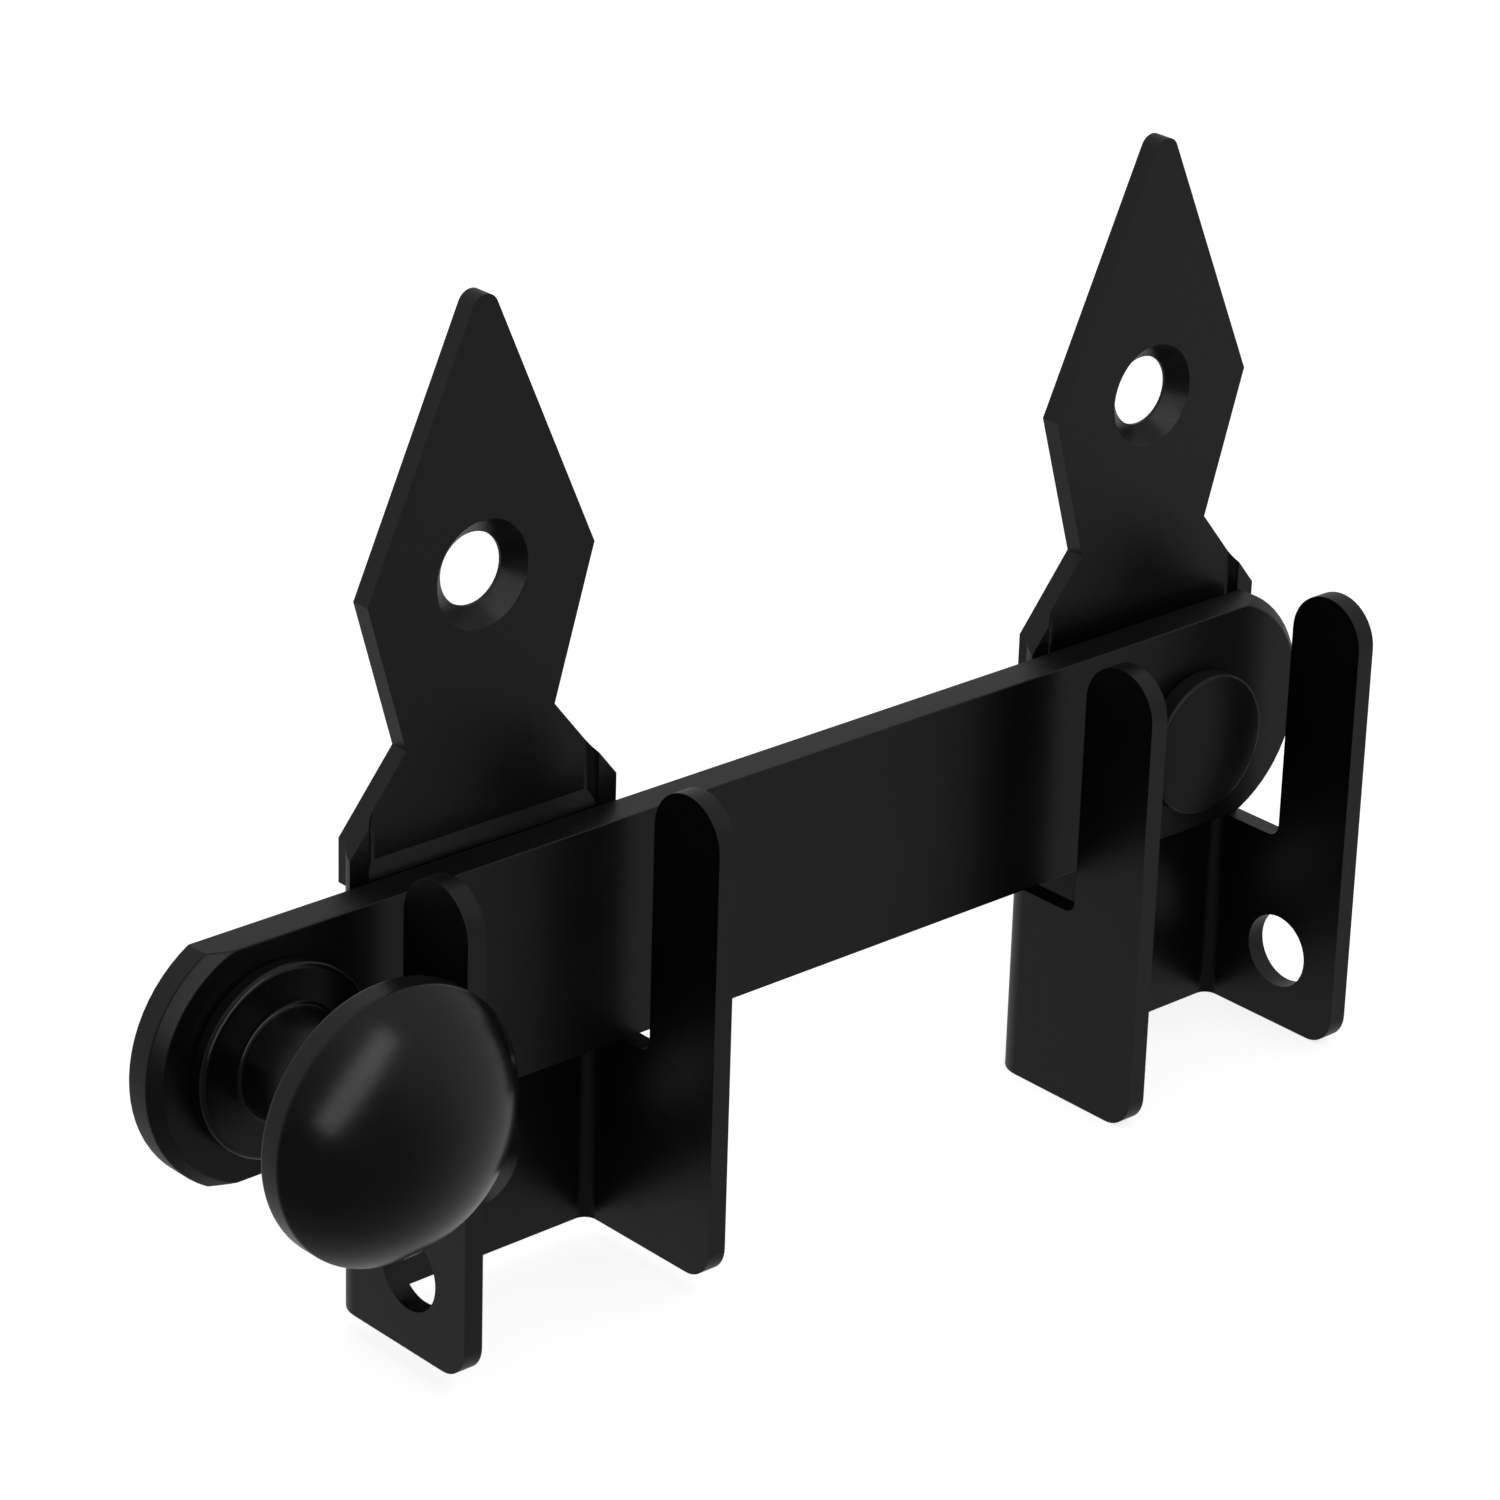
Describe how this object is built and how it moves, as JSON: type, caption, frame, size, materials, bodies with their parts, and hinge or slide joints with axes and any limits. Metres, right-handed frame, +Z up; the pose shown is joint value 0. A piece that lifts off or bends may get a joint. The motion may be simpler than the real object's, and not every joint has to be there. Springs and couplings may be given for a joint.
{
  "type": "gate latch",
  "caption": "Flip-over gate latch: a flat bar with a mushroom knob turns on a rivet in one folded bracket and drops into the open slots of a mirrored, spear-topped keeper.",
  "frame": {"origin": "on the gate's face, midway between the two screw holes of the pivot bracket", "axes": "+X along the bar from the knob to the rivet, +Y back into the gate, +Z up"},
  "size_m": [0.1606, 0.0359, 0.1089],
  "materials": {
    "coated_sheet": "satin black powder coat",
    "coated_bar": "satin black powder coat",
    "coated_knob": "satin black powder coat",
    "coated_fixings": "satin black powder coat"
  },
  "bodies": {
    "brackets": {"keeper_bracket": "coated_sheet", "pivot_bracket": "coated_sheet", "pivot_rivet": "coated_fixings", "pivot_washer": "coated_fixings"},
    "swing_bar": {"bar": "coated_bar", "knob": "coated_knob", "knob_screw": "coated_fixings"}
  },
  "joints": [
    {"name": "bar_swing", "type": "hinge", "parent": "brackets", "child": "swing_bar", "pos_m": [0.0036, -0.0063, -0.0071], "axis": [0, 1, 0], "range_deg": [0, 180]}
  ]
}
